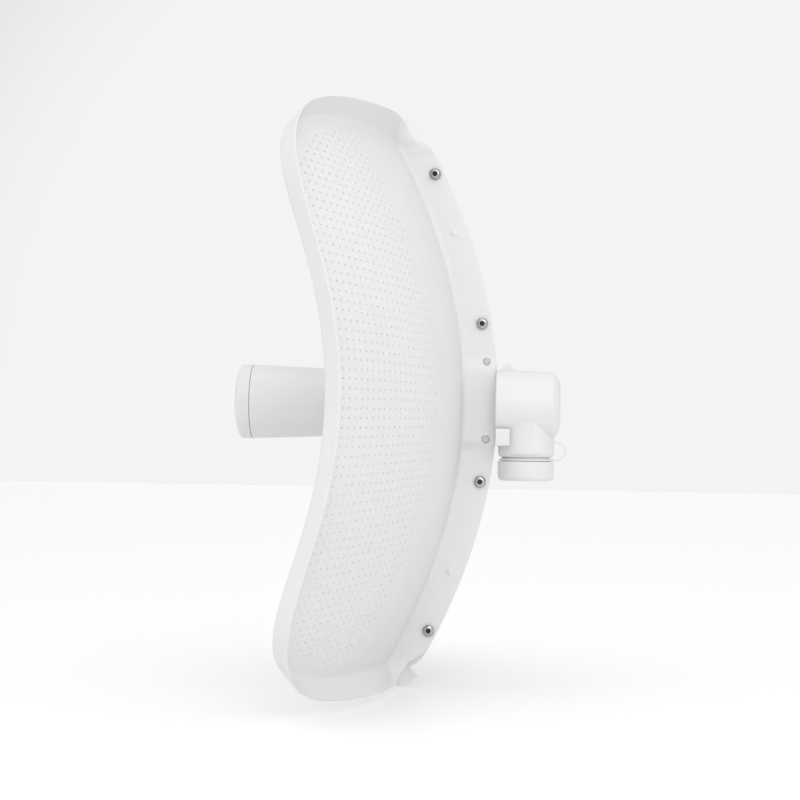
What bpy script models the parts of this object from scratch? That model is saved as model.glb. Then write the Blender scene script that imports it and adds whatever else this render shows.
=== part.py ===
"""Outdoor wireless bridge: two-piece dish reflector, feed tube through the spine, radio housing behind.

World frame, metres: +Z up, the antenna looks along -Y, the right wing is on +X.
The origin is the vertex of the reflector surface, moved at the end to the bracket face.
"""

import math

import bmesh
import bpy
import numpy as np
from mathutils import Vector
from mathutils.geometry import delaunay_2d_cdt

MM = 0.001

# Reflector
FOCAL_X = 0.170          # the dish is a little deeper across than up and down
FOCAL_Z = 0.1886
TWIST = 4.5              # extra depth towards the corners
HALF_WIDTH = 0.240       # rim line, side
HALF_HEIGHT = 0.2074     # rim line, top
CORNER_POWER = 6.0       # superellipse power of the rim line
SPINE_CORNER = 0.0090    # rounding between the top edge and the spine
SHEET = 0.0012           # sheet thickness
BEND = 0.0055            # bend radius all round
LIP_FLAT = 0.0157        # flat part of the lip
LIP_ANGLE = 40.0         # direction of the lip, degrees from outward to straight back
FLANGE_MID = 0.00085     # middle of the flange sheet from the centre plane
FLANGE_EDGE = 0.0266     # outer edge of the flange behind the vertex
FLANGE_RISE = 0.0014
END_REACH = 0.085        # near the spine the lip flares out towards its end
# Round the spine corner: share of the way, share of the turn, direction of the strip, its length
END_RIGHT = ((0, 0, 20, 0.0170), (0.25, 0.25, 46, 0.0116), (0.5, 0.5, 85, 0.0100), (0.75, 0.75, 90, 0.0195))
END_RIGHT += ((1, 1, 90, 0.0225),)
END_LEFT = ((0, 0, 20, 0.0215), (0.25, 0, 40, 0.0220), (0.5, 0, 60, 0.0225), (0.58, 0.16, 72, 0.0120))
END_LEFT += ((0.75, 0.5, 88, 0.0190), (1, 1, 90, 0.0225))
POCKET_DEPTH = 0.0048    # pocket pressed into each flange for the tongue
POCKET_FLAT = 0.0275     # half height of the pocket floor
POCKET_RAMP = 0.0110

# Spine hardware
SCREW_Z = (0.185, 0.064, -0.064, -0.185)
SCREW_INSET = 0.0077
SCREW_R = 0.0025
HEAD_R = 0.00475
HEAD_H = 0.0032
NUT_FLATS = 0.008
NUT_H = 0.004
PIN_Z = (0.0330, -0.0292)
PIN_Y = 0.0191
PIN_R = 0.0029

# Feed tube
AXIS_Z = -0.0015
TUBE_FRONT = -0.1704
TUBE_BACK = -0.0060
TUBE_R_FRONT = 0.0300
TUBE_R_BACK = 0.0236
TUBE_WALL = 0.0022
CAP_TIP = -0.1850
CAP_EDGE = -0.1785
TONGUE_X = 0.0042
TONGUE_Z = 0.0240
TONGUE_WALL = 0.0016
TONGUE_BACK = 0.0342

# Rear housing
HOUSE_FRONT = 0.0270
HOUSE_BACK = 0.0789
HOUSE_R = 0.0284
HOUSE_R_BACK = 0.0272
HOUSE_WALL = 0.0022
ELBOW_Y = 0.0517
ELBOW_R = 0.0225
ELBOW_WIDER = 1.10       # across, seen from behind
ELBOW_END = -0.0434
NECK_R = 0.0192
NECK_END = -0.0570
PORT_BORE = 0.0170
EYE_Z = -0.0310          # where the tether strap is anchored behind the elbow

# Port cap
CAP_TOP = -0.0467
CAP_BOTTOM = -0.0625
CAP_R = 0.0227
CAP_WALL = 0.0020

# How finely the wings are divided
RIM_STEPS = 60
CORNER_STEPS = 8
SPINE_STEPS = 13
POCKET_STEPS = 4
BEND_STEPS = 5
FLAT_STEPS = 2
GRID = 0.024

# Where the object is held: outer face of the right flange, between a screw and a pin
HOLD = (FLANGE_MID + SHEET / 2, 0.0150, 0.0470)

for old in list(bpy.data.objects):
    bpy.data.objects.remove(old, do_unlink=True)

MATERIALS = {}


def material(name, colour, metallic, roughness):
    if name not in MATERIALS:
        made = bpy.data.materials.new(name)
        made.use_nodes = True
        shader = made.node_tree.nodes["Principled BSDF"]
        shader.inputs["Base Color"].default_value = (*colour, 1)
        shader.inputs["Metallic"].default_value = metallic
        shader.inputs["Roughness"].default_value = roughness
        MATERIALS[name] = made
    return MATERIALS[name]


PAINT = material("white_powder_coat", (0.86, 0.86, 0.85), 0.0, 0.45)
PLASTIC = material("white_plastic", (0.88, 0.88, 0.87), 0.0, 0.35)
STEEL = material("stainless_steel", (0.62, 0.62, 0.63), 1.0, 0.3)
GREY = material("grey_plastic", (0.55, 0.55, 0.56), 0.0, 0.5)
RUBBER = material("grey_rubber", (0.20, 0.20, 0.21), 0.0, 0.8)
BOARD = material("board_green", (0.05, 0.22, 0.10), 0.0, 0.5)
TIN = material("tinned_steel", (0.72, 0.72, 0.72), 1.0, 0.35)
DARK = material("dark_plastic", (0.03, 0.03, 0.03), 0.0, 0.5)


def finish(name, bm, look):
    bmesh.ops.remove_doubles(bm, verts=bm.verts, dist=1e-6)
    bmesh.ops.recalc_face_normals(bm, faces=bm.faces)
    mesh = bpy.data.meshes.new(name)
    bm.to_mesh(mesh)
    bm.free()
    obj = bpy.data.objects.new(name, mesh)
    bpy.context.scene.collection.objects.link(obj)
    obj.data.materials.append(look)
    return obj


def lathe(name, profile, axis, look, segments=40, centre=(0, 0, 0)):
    """A closed profile of (radius, along) points turned about the Y or Z axis through centre."""
    bm = bmesh.new()
    rings = []
    for radius, along in profile:
        ring = []
        for k in range(segments):
            a = 2 * math.pi * k / segments
            u, v = radius * math.cos(a), radius * math.sin(a)
            spot = (u, along, v) if axis == "Y" else (u, v, along)
            if axis == "X":
                spot = (along, u, v)
            ring.append(bm.verts.new([c + s for c, s in zip(centre, spot)]))
            if radius == 0:
                break
        rings.append(ring)
    for first, second in zip(rings, rings[1:] + rings[:1]):
        if len(first) == 1 and len(second) == 1:
            continue
        for k in range(segments):
            n = (k + 1) % segments
            if len(first) == 1:
                bm.faces.new((first[0], second[k], second[n]))
            elif len(second) == 1:
                bm.faces.new((first[k], second[0], first[n]))
            else:
                bm.faces.new((first[k], second[k], second[n], first[n]))
    return finish(name, bm, look)


def rod(name, radius, low, high, axis, look, segments=32, centre=(0, 0, 0)):
    return lathe(name, [(0, low), (radius, low), (radius, high), (0, high)], axis, look, segments, centre)


def block(name, low, high, look):
    bm = bmesh.new()
    bmesh.ops.create_cube(bm, size=1)
    for v in bm.verts:
        v.co = [lo + (c + 0.5) * (hi - lo) for c, lo, hi in zip(v.co, low, high)]
    return finish(name, bm, look)


def prism(name, outline, low, high, axis, look):
    """An outline of (u, v) points drawn out along X (u, v are y, z) or Y (u, v are x, z)."""
    bm = bmesh.new()
    ends = []
    for along in (low, high):
        if axis == "X":
            ends.append([bm.verts.new((along, u, v)) for u, v in outline])
        elif axis == "Y":
            ends.append([bm.verts.new((u, along, v)) for u, v in outline])
        else:
            ends.append([bm.verts.new((u, v, along)) for u, v in outline])
    bm.faces.new(ends[0])
    bm.faces.new(ends[1])
    count = len(outline)
    for k in range(count):
        n = (k + 1) % count
        bm.faces.new((ends[0][k], ends[0][n], ends[1][n], ends[1][k]))
    return finish(name, bm, look)


def rounded(half_u, half_v, radius, steps=5, centre=(0, 0)):
    points = []
    corners = ((1, 1, 0), (-1, 1, 90), (-1, -1, 180), (1, -1, 270))
    for su, sv, start in corners:
        for k in range(steps + 1):
            a = math.radians(start + 90 * k / steps)
            u = su * (half_u - radius) + radius * math.cos(a)
            v = sv * (half_v - radius) + radius * math.sin(a)
            points.append((centre[0] + u, centre[1] + v))
    return points


def combine(target, tool, operation):
    """The Boolean worked out at once, and the tool removed."""
    step = target.modifiers.new("step", "BOOLEAN")
    step.operation = operation
    step.solver = "EXACT"
    step.object = tool
    depsgraph = bpy.context.evaluated_depsgraph_get()
    mesh = bpy.data.meshes.new_from_object(target.evaluated_get(depsgraph))
    target.modifiers.clear()
    old = target.data
    target.data = mesh
    bpy.data.meshes.remove(old)
    bpy.data.objects.remove(tool, do_unlink=True)
    if not target.data.materials:
        target.data.materials.append(PLASTIC)


def cut(target, tool):
    combine(target, tool, "DIFFERENCE")


def join(target, tool):
    combine(target, tool, "UNION")


def surface(x, z):
    return -(x * x / (4 * FOCAL_X) + z * z / (4 * FOCAL_Z) + TWIST * x * x * z * z)


def slopes(x, z):
    return -(x / (2 * FOCAL_X) + 2 * TWIST * x * z * z), -(z / (2 * FOCAL_Z) + 2 * TWIST * x * x * z)


def surface_normal(x, z):
    sx, sz = slopes(x, z)
    return Vector((-sx, 1, -sz)).normalized()


def pocket(z):
    """How far the flange stands off the centre plane at this height, for the tongue."""
    t = (abs(z - AXIS_Z) - POCKET_FLAT) / POCKET_RAMP
    t = min(max(t, 0.0), 1.0)
    return POCKET_DEPTH * (1 - t * t * (3 - 2 * t))


def flange_edge(z):
    return min(FLANGE_EDGE, FLANGE_EDGE + FLANGE_RISE - z * z / (4 * FOCAL_Z))


def wing_edge(ends):
    """Round the wing's edge: x, z, outward x, outward z, direction of the strip and its length."""
    inner = FLANGE_MID + BEND
    loop = []
    angles = np.linspace(-math.pi / 2, math.pi / 2, 6001)
    c, s = np.cos(angles), np.sin(angles)
    x = HALF_WIDTH * np.abs(c) ** (2 / CORNER_POWER)
    z = HALF_HEIGHT * np.sign(s) * np.abs(s) ** (2 / CORNER_POWER)
    keep = x >= inner + SPINE_CORNER
    x, z = x[keep], z[keep]
    nx = (x / HALF_WIDTH) ** (CORNER_POWER - 1) / HALF_WIDTH
    nz = np.sign(z) * (np.abs(z) / HALF_HEIGHT) ** (CORNER_POWER - 1) / HALF_HEIGHT
    facing = np.unwrap(np.arctan2(nz, nx))
    run = np.hypot(np.diff(x), np.diff(z)) + 0.09 * np.abs(np.diff(facing))
    along = np.concatenate([[0], np.cumsum(run)])
    where = np.linspace(0, along[-1], RIM_STEPS + 1)
    for px, pz, a in zip(np.interp(where, along, x), np.interp(where, along, z), np.interp(where, along, facing)):
        t = min(max(1 - (px - inner - SPINE_CORNER) / END_REACH, 0.0), 1.0)
        t = t * t * (3 - 2 * t)
        loop.append((px, pz, math.cos(a), math.sin(a), LIP_ANGLE + (ends[0][2] - LIP_ANGLE) * t,
                     LIP_FLAT + (ends[0][3] - LIP_FLAT) * t))
    shares, turns, leans, lengths = zip(*ends)

    def corner(sign):
        points = []
        centre = (inner + SPINE_CORNER, sign * (HALF_HEIGHT - SPINE_CORNER))
        for k in range(1, CORNER_STEPS):
            t = k / CORNER_STEPS
            place = math.pi / 2 * (1 + t)
            px = centre[0] + SPINE_CORNER * math.cos(place)
            pz = centre[1] + sign * SPINE_CORNER * math.sin(place)
            a = math.pi / 2 * (1 + np.interp(t, shares, turns))
            angle = float(np.interp(t, shares, leans))
            length = float(np.interp(t, shares, lengths))
            points.append((px, pz, math.cos(a), sign * math.sin(a), angle, length))
        return points

    loop.extend(corner(1))
    top = HALF_HEIGHT - SPINE_CORNER
    near = POCKET_FLAT + POCKET_RAMP
    heights = list(np.linspace(top, AXIS_Z + near, SPINE_STEPS + 1)[:-1])
    heights += list(np.linspace(AXIS_Z + near, AXIS_Z + POCKET_FLAT, POCKET_STEPS + 1)[:-1])
    heights += list(np.linspace(AXIS_Z + POCKET_FLAT, AXIS_Z - POCKET_FLAT, POCKET_STEPS + 1)[:-1])
    heights += list(np.linspace(AXIS_Z - POCKET_FLAT, AXIS_Z - near, POCKET_STEPS + 1)[:-1])
    heights += list(np.linspace(AXIS_Z - near, -top, SPINE_STEPS + 1))
    for z in heights:
        x = inner + pocket(z)
        length = flange_edge(z) - (surface(x, z) + BEND)
        loop.append((x, z, -1.0, 0.0, 90.0, length))
    loop.extend(reversed(corner(-1)))
    return loop


def strip_row(x, z, ox, oz, angle, length):
    """Points and normals from the wing's edge, round the bend and out to the free edge."""
    sx, sz = slopes(x, z)
    start = math.atan(sx * ox + sz * oz)
    end = math.radians(angle)
    if angle == 90.0:
        start = 0.0
    y = surface(x, z)
    own = surface_normal(x, z)
    plain = Vector((-math.sin(start) * ox, math.cos(start), -math.sin(start) * oz))
    points, normals = [], []
    for k in range(BEND_STEPS + 1):
        a = start + (end - start) * k / BEND_STEPS
        out = BEND * (math.sin(a) - math.sin(start))
        back = BEND * (math.cos(start) - math.cos(a))
        points.append((x + ox * out, y + back, z + oz * out))
        turn = Vector((-math.sin(a) * ox, math.cos(a), -math.sin(a) * oz))
        normals.append(turn + (own - plain) * (1 - k / BEND_STEPS))
    tip = points[-1]
    for k in range(1, FLAT_STEPS + 1):
        out = length * k / FLAT_STEPS * math.cos(end)
        back = length * k / FLAT_STEPS * math.sin(end)
        points.append((tip[0] + ox * out, tip[1] + back, tip[2] + oz * out))
        normals.append(normals[BEND_STEPS])
    return points, normals


class Skin:
    """The middle of the sheet: points with normals, and faces. Equal points are one."""

    def __init__(self):
        self.index = {}
        self.points = []
        self.normals = []
        self.faces = []

    def point(self, p, n):
        key = tuple(round(c * 1e6) for c in p)
        if key not in self.index:
            self.index[key] = len(self.points)
            self.points.append(Vector(p))
            self.normals.append(Vector(n).normalized())
        return self.index[key]

    def grid(self, rows, normals):
        for i in range(len(rows) - 1):
            for j in range(len(rows[0]) - 1):
                face = []
                for a, b in ((i, j), (i, j + 1), (i + 1, j + 1), (i + 1, j)):
                    face.append(self.point(rows[a][b], normals[a][b]))
                self.faces.append(face)

    def flat(self, outline, loose, holes, lift):
        """A region of the plane with holes, triangulated, and lifted to points and normals."""
        coords = list(outline)
        rings = [list(range(len(outline)))]
        for hole in holes:
            rings.append(list(range(len(coords), len(coords) + len(hole))))
            coords.extend(hole)
        coords.extend(loose)
        found = delaunay_2d_cdt([Vector(c) for c in coords], [], rings, 1, 1e-7)
        lifted = [self.point(*lift(s.x, s.y)) for s in found[0]]
        for face, owner in zip(found[2], found[5]):
            if not any(k > 0 for k in owner):
                self.faces.append([lifted[k] for k in face])

    def shell(self, name, side, look, origin=(0, 0, 0)):
        """Both faces of the sheet, and walls round every free edge. side -1 is the mirror image."""
        bm = bmesh.new()
        skins = []
        for half in (0.5, -0.5):
            skin = []
            for p, n in zip(self.points, self.normals):
                q = p + n * (SHEET * half)
                skin.append(bm.verts.new((q.x * side - origin[0], q.y - origin[1], q.z - origin[2])))
            skins.append(skin)
        front, back = skins
        uses = {}
        for face in self.faces:
            bm.faces.new([front[k] for k in face])
            bm.faces.new([back[k] for k in reversed(face)])
            for a, b in zip(face, face[1:] + face[:1]):
                uses[tuple(sorted((a, b)))] = uses.get(tuple(sorted((a, b))), 0) + 1
        for (a, b), count in uses.items():
            if count == 1:
                bm.faces.new([front[a], front[b], back[b], back[a]])
        return finish(name, bm, look)


def wing(name, side):
    skin = Skin()
    loop = wing_edge(END_RIGHT if side > 0 else END_LEFT)
    rows, normals = [], []
    for spot in loop + loop[:1]:
        row, facing = strip_row(*spot)
        rows.append(row)
        normals.append(facing)
    skin.grid(rows, normals)
    outline = [(float(spot[0]), float(spot[1])) for spot in loop]
    loose = []
    for i in range(1, int(HALF_WIDTH / GRID) + 1):
        for j in range(-int(HALF_HEIGHT / GRID) - 1, int(HALF_HEIGHT / GRID) + 2):
            x, z = (i + 0.1) * GRID, (j + 0.5 * (i % 2)) * GRID
            inside = (x / (HALF_WIDTH - 0.008)) ** CORNER_POWER + (abs(z) / (HALF_HEIGHT - 0.008)) ** CORNER_POWER
            if inside < 1:
                loose.append((x, z))
    skin.flat(outline, loose, [], lambda x, z: ((x, surface(x, z), z), surface_normal(x, z)))
    obj = skin.shell(name, side, PAINT)
    for z in SCREW_Z:
        hole = (0, flange_edge(z) - SCREW_INSET, z)
        cut(obj, rod("cutter", SCREW_R + 0.0003, -0.02, 0.02, "X", STEEL, 20, hole))
    for z in PIN_Z:
        cut(obj, rod("cutter", PIN_R + 0.0003, -0.02, 0.02, "X", STEEL, 20, (0, PIN_Y, z)))
    return obj


def spine_hardware():
    outer = FLANGE_MID + SHEET / 2 + 0.0003
    for number, z in enumerate(SCREW_Z, 1):
        centre = (0, flange_edge(z) - SCREW_INSET, z)
        profile = [(0, -0.0085), (SCREW_R - 0.0003, -0.0085), (SCREW_R, -0.0082), (SCREW_R, outer)]
        profile += [(HEAD_R, outer), (HEAD_R, outer + HEAD_H * 0.55), (HEAD_R * 0.86, outer + HEAD_H * 0.86)]
        profile += [(HEAD_R * 0.6, outer + HEAD_H), (0, outer + HEAD_H)]
        screw = lathe(f"spine_screw_{number}", profile, "X", STEEL, 24, centre)
        socket = [(0.0018 * math.cos(a), 0.0018 * math.sin(a)) for a in np.linspace(0, 2 * math.pi, 7)[:-1]]
        socket = [(centre[1] + u, centre[2] + v) for u, v in socket]
        cut(screw, prism("cutter", socket, outer + HEAD_H - 0.0018, outer + HEAD_H + 0.001, "X", STEEL))
        reach = NUT_FLATS / math.sqrt(3)
        hexagon = [(reach * math.cos(a), reach * math.sin(a)) for a in np.linspace(0, 2 * math.pi, 7)[:-1]]
        hexagon = [(centre[1] + u, centre[2] + v) for u, v in hexagon]
        nut = prism(f"spine_nut_{number}", hexagon, -outer - NUT_H, -outer, "X", STEEL)
        cut(nut, rod("cutter", SCREW_R + 0.00015, -0.02, 0.02, "X", STEEL, 20, centre))
    for label, z in zip(("upper", "lower"), PIN_Z):
        centre = (0, PIN_Y, z)
        reach = FLANGE_MID + pocket(z) + SHEET / 2 - 0.0004
        rod(f"locating_pin_{label}", PIN_R, -reach, reach, "X", GREY, 24, centre)


def tube_radius(y):
    return TUBE_R_FRONT + (TUBE_R_BACK - TUBE_R_FRONT) * (y - TUBE_FRONT) / (TUBE_BACK - TUBE_FRONT)


def feed_assembly():
    centre = (0, 0, AXIS_Z)
    wall = TUBE_WALL
    lip = TUBE_FRONT - 0.0050
    profile = [
        (tube_radius(lip) - wall - 0.0003, lip),
        (tube_radius(lip) - wall - 0.0003, TUBE_FRONT),
        (tube_radius(TUBE_FRONT), TUBE_FRONT),
        (TUBE_R_BACK, TUBE_BACK - 0.0015),
        (TUBE_R_BACK - 0.0015, TUBE_BACK),
        (0, TUBE_BACK),
        (0, TUBE_BACK - wall),
        (TUBE_R_BACK - wall, TUBE_BACK - wall),
        (tube_radius(lip) - 2 * wall, lip),
    ]
    tube = lathe("feed_tube", profile, "Y", PLASTIC, 56, centre)
    outline = rounded(TONGUE_X, TONGUE_Z, 0.0030, 4, (0, AXIS_Z))
    join(tube, prism("cutter", outline, TUBE_BACK - 0.001, TONGUE_BACK, "Y", PLASTIC))
    inner = rounded(TONGUE_X - TONGUE_WALL, TONGUE_Z - TONGUE_WALL, 0.0015, 3, (0, AXIS_Z))
    cut(tube, prism("cutter", inner, TUBE_BACK - 0.01, TONGUE_BACK + 0.01, "Y", PLASTIC))

    rim = TUBE_R_FRONT
    step = tube_radius(lip) - wall
    outside = [(rim, TUBE_FRONT - 0.0003), (rim, CAP_EDGE)]
    dome = []
    for k in range(1, 6):
        a = math.pi / 2 * k / 6
        dome.append((rim * math.cos(a), CAP_EDGE + (CAP_TIP - CAP_EDGE) * math.sin(a)))
    inside = [(0, CAP_TIP + 0.0020), (rim * 0.6, CAP_TIP + 0.0034), (step, CAP_EDGE)]
    inside += [(step, TUBE_FRONT - 0.0003)]
    lathe("feed_front_cap", outside + dome + [(0, CAP_TIP)] + inside, "Y", PLASTIC, 56, centre)

    seal = [(step - 0.0009, lip - 0.0010), (step - 0.0009, lip - 0.0003), (step - 0.0026, lip - 0.0003)]
    seal += [(step - 0.0026, lip - 0.0010)]
    lathe("front_cap_seal", seal, "Y", RUBBER, 40, centre)
    disc = [(0, -0.1655), (0.0205, -0.1655), (0.0225, -0.1630), (0.0225, -0.1622), (0.0203, -0.1645), (0, -0.1645)]
    lathe("sub_reflector", disc, "Y", TIN, 40, centre)
    horn = [(0.0060, -0.1570), (0.0145, -0.1430), (0.0145, -0.1280), (0.0135, -0.1280), (0.0135, -0.1428)]
    horn += [(0.0050, -0.1570)]
    lathe("feed_radiator", horn, "Y", TIN, 32, centre)
    board = [(0.0630, 0.0210), (0.0630, -0.0180), (0.0300, -0.0208), (-0.1080, -0.0208), (-0.1140, -0.0070)]
    board += [(-0.1260, -0.0070), (-0.1260, 0.0070), (-0.1140, 0.0070), (-0.1080, 0.0208), (0.0300, 0.0208)]
    board = [(y, z + AXIS_Z) for y, z in board]
    radio = prism("radio_board", board, -0.0008, 0.0008, "X", BOARD)
    for y in (-0.0950, -0.0250):
        cut(radio, rod("cutter", 0.0016, -0.01, 0.01, "X", BOARD, 16, (0, y, AXIS_Z + 0.0172)))
    block("shield_can", (0.0011, -0.0720, AXIS_Z - 0.0130), (0.0056, -0.0330, AXIS_Z + 0.0130), TIN)
    for number, y in enumerate((-0.0950, -0.0250), 1):
        spot = (0, y, AXIS_Z + 0.0172)
        head = [(0, -0.0040), (0.00125, -0.0040), (0.00125, 0.0011), (0.0025, 0.0011), (0.0025, 0.0024)]
        head += [(0.0019, 0.0030), (0, 0.0030)]
        lathe(f"board_screw_{number}", head, "X", STEEL, 16, spot)


def rear_housing():
    centre = (0, 0, AXIS_Z)
    r, e = HOUSE_R, HOUSE_R_BACK
    outside = [(0, HOUSE_FRONT), (r - 0.0008, HOUSE_FRONT), (r, HOUSE_FRONT + 0.0008)]
    outside += [(e, HOUSE_BACK - 0.0062), (e - 0.0026, HOUSE_BACK - 0.0038), (e - 0.0070, HOUSE_BACK - 0.0009)]
    outside += [(e - 0.0112, HOUSE_BACK), (0, HOUSE_BACK)]
    body = lathe("rear_housing", outside, "Y", PLASTIC, 56, centre)
    stem = [(0, AXIS_Z), (ELBOW_R, AXIS_Z), (ELBOW_R, ELBOW_END + 0.0020), (ELBOW_R - 0.0016, ELBOW_END)]
    stem += [(NECK_R, ELBOW_END), (NECK_R, NECK_END + 0.0006), (NECK_R - 0.0006, NECK_END), (0, NECK_END)]
    join(body, lathe("cutter", stem, "Z", PLASTIC, 48, (0, ELBOW_Y, 0)))
    swell = [(0, AXIS_Z + 0.0013), (ELBOW_R - 0.0004, AXIS_Z + 0.0013), (ELBOW_R - 0.0004, ELBOW_END + 0.0030)]
    swell += [(ELBOW_R - 0.0030, ELBOW_END + 0.0007), (0, ELBOW_END + 0.0007)]
    wide = lathe("cutter", swell, "Z", PLASTIC, 44, (0, ELBOW_Y, 0))
    for vert in wide.data.vertices:
        vert.co.x *= ELBOW_WIDER
    join(body, wide)
    catch = [(0.0022, -0.0015), (0.0040, 0.0010), (0.0062, 0.0036), (0.0082, 0.0050), (0.0100, 0.0050)]
    catch += [(0.0116, 0.0038), (0.0134, 0.0005), (0.0134, -0.0015)]
    catch = [(HOUSE_FRONT + u, AXIS_Z + r + v) for u, v in catch]
    join(body, prism("cutter", catch, -0.0045, 0.0045, "X", PLASTIC))
    for side in (-1, 1):
        lug = rounded(0.0058, 0.0070, 0.0018, 3, (side * 0.0205, AXIS_Z - 0.0262))
        join(body, prism("cutter", lug, HOUSE_FRONT + 0.0006, HOUSE_FRONT + 0.0118, "Y", PLASTIC))
    w = HOUSE_WALL
    hollow = [(0, HOUSE_FRONT + w), (r - w, HOUSE_FRONT + w), (e - w, HOUSE_BACK - 0.0070)]
    hollow += [(e - 0.0125, HOUSE_BACK - w), (0, HOUSE_BACK - w)]
    cut(body, lathe("cutter", hollow, "Y", PLASTIC, 48, centre))
    bore = [(0, AXIS_Z - 0.010), (ELBOW_R - w, AXIS_Z - 0.010), (ELBOW_R - w, ELBOW_END + 0.0035)]
    bore += [(PORT_BORE, ELBOW_END + 0.0010), (PORT_BORE, NECK_END - 0.01), (0, NECK_END - 0.01)]
    cut(body, lathe("cutter", bore, "Z", PLASTIC, 44, (0, ELBOW_Y, 0)))
    outline = rounded(TONGUE_X + 0.0003, TONGUE_Z + 0.0003, 0.0033, 4, (0, AXIS_Z))
    cut(body, prism("cutter", outline, HOUSE_FRONT - 0.01, HOUSE_FRONT + 0.006, "Y", PLASTIC))
    low, high = (-0.0022, ELBOW_Y + ELBOW_R - 0.0012, EYE_Z - 0.0012), (0.0022, ELBOW_Y + ELBOW_R + 0.0022, EYE_Z + 0.0012)
    join(body, block("cutter", low, high, PLASTIC))

    seal = rounded(TONGUE_X + 0.0022, TONGUE_Z - 0.0006, 0.0035, 4, (0, AXIS_Z))
    gasket = prism("tongue_seal", seal, TONGUE_BACK + 0.0003, TONGUE_BACK + 0.0018, "Y", RUBBER)
    hole = rounded(TONGUE_X - 0.0012, TONGUE_Z - 0.0030, 0.0015, 4, (0, AXIS_Z))
    cut(gasket, prism("cutter", hole, 0, 0.06, "Y", RUBBER))


def port_parts():
    y = ELBOW_Y
    jack = block("ethernet_jack", (-0.0078, y - 0.0068, -0.0440), (0.0078, y + 0.0068, -0.0240), TIN)
    mouth = [(-0.0060, -0.0042), (0.0060, -0.0042), (0.0060, 0.0018), (0.0032, 0.0018), (0.0032, 0.0042)]
    mouth += [(-0.0032, 0.0042), (-0.0032, 0.0018), (-0.0060, 0.0018)]
    mouth = [(u, y + v) for u, v in mouth]
    cut(jack, prism("cutter", mouth, -0.0500, -0.0280, "Z", DARK))
    plate = [(0, -0.0386), (PORT_BORE + 0.0026, -0.0386), (PORT_BORE + 0.0026, -0.0374), (0, -0.0374)]
    carrier = lathe("port_plate", plate, "Z", GREY, 40, (0, y, 0))
    cut(carrier, block("cutter", (-0.0081, y - 0.0071, -0.05), (0.0081, y + 0.0071, -0.02), GREY))
    cut(carrier, rod("cutter", 0.0019, -0.05, -0.02, "Z", GREY, 20, (0.0120, y, 0)))
    button = [(0, -0.0405), (0.0014, -0.0405), (0.0016, -0.0403), (0.0016, -0.0370), (0.0023, -0.0370)]
    button += [(0.0023, -0.0362), (0, -0.0362)]
    press = lathe("reset_button", button, "Z", DARK, 20, (0, 0, 0))
    press.location = (0.0120, y, 0)
    press.name = "reset_button"

    r, w = CAP_R, CAP_WALL
    cup = [(0, CAP_BOTTOM), (r - 0.0030, CAP_BOTTOM), (r - 0.0010, CAP_BOTTOM + 0.0010), (r - 0.0002, CAP_BOTTOM + 0.0030)]
    cup += [(r, CAP_TOP - 0.0010), (r - 0.0006, CAP_TOP), (NECK_R + 0.0003, CAP_TOP)]
    cup += [(NECK_R + 0.0003, CAP_BOTTOM + 0.0022 + w), (0, CAP_BOTTOM + 0.0022 + w)]
    lathe("port_cap", cup, "Z", PLASTIC, 56, (0, y, 0))
    ring = [(PORT_BORE + 0.0003, NECK_END - 0.0011), (NECK_R - 0.0003, NECK_END - 0.0011)]
    ring += [(NECK_R - 0.0003, NECK_END - 0.0003), (PORT_BORE + 0.0003, NECK_END - 0.0003)]
    lathe("port_gasket", ring, "Z", RUBBER, 44, (0, y, 0))


def smooth(points, steps):
    """A Catmull-Rom line through the points."""
    line = []
    for k in range(len(points) - 1):
        p0, p1 = points[max(k - 1, 0)], points[k]
        p2, p3 = points[k + 1], points[min(k + 2, len(points) - 1)]
        for t in np.linspace(0, 1, steps + 1)[:-1]:
            spot = []
            for a, b, c, d in zip(p0, p1, p2, p3):
                bend = (2 * a - 5 * b + 4 * c - d) * t * t + (3 * b - a - 3 * c + d) * t ** 3
                spot.append(0.5 * (2 * b + (c - a) * t + bend))
            line.append(spot)
    line.append(points[-1])
    return np.array(line)


def tether():
    """A ring between the elbow and the cap, and a strap that loops out behind it up to the elbow's eye."""
    y = ELBOW_Y
    low, high = CAP_TOP + 0.0004, CAP_TOP + 0.0019
    outer = ELBOW_R - 0.0010
    ring = [(NECK_R + 0.0003, low), (outer, low), (outer, high), (NECK_R + 0.0003, high)]
    obj = lathe("tether_ring", ring, "Z", PLASTIC, 48, (0, y, 0))
    tab = block("cutter", (-0.0014, y + outer - 0.0008, low), (0.0014, y + outer + 0.0028, high), PLASTIC)
    join(obj, tab)
    start = y + outer + 0.0031
    path = [(start, low + 0.00075), (start + 0.0035, low + 0.0016), (start + 0.0066, low + 0.0050)]
    path += [(start + 0.0072, low + 0.0080), (start + 0.0050, low + 0.0122), (start + 0.0006, EYE_Z)]
    line = smooth(path, 4)
    run = np.gradient(line, axis=0)
    run /= np.linalg.norm(run, axis=1)[:, None]
    side = np.stack([-run[:, 1], run[:, 0]], axis=1) * 0.0009
    outline = [tuple(p) for p in line + side] + [tuple(p) for p in (line - side)[::-1]]
    prism("tether_strap", outline, -0.0011, 0.0011, "X", PLASTIC)


wing("wing_right", 1)
wing("wing_left", -1)
spine_hardware()
feed_assembly()
rear_housing()
port_parts()
tether()

for obj in list(bpy.context.scene.objects):
    obj.location = [a - b for a, b in zip(obj.location, HOLD)]
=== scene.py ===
"""The visual model of an outdoor wireless bridge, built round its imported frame."""

import math

import bmesh
import bpy
import numpy as np
from mathutils import Matrix, Vector
from mathutils.geometry import delaunay_2d_cdt


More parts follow.
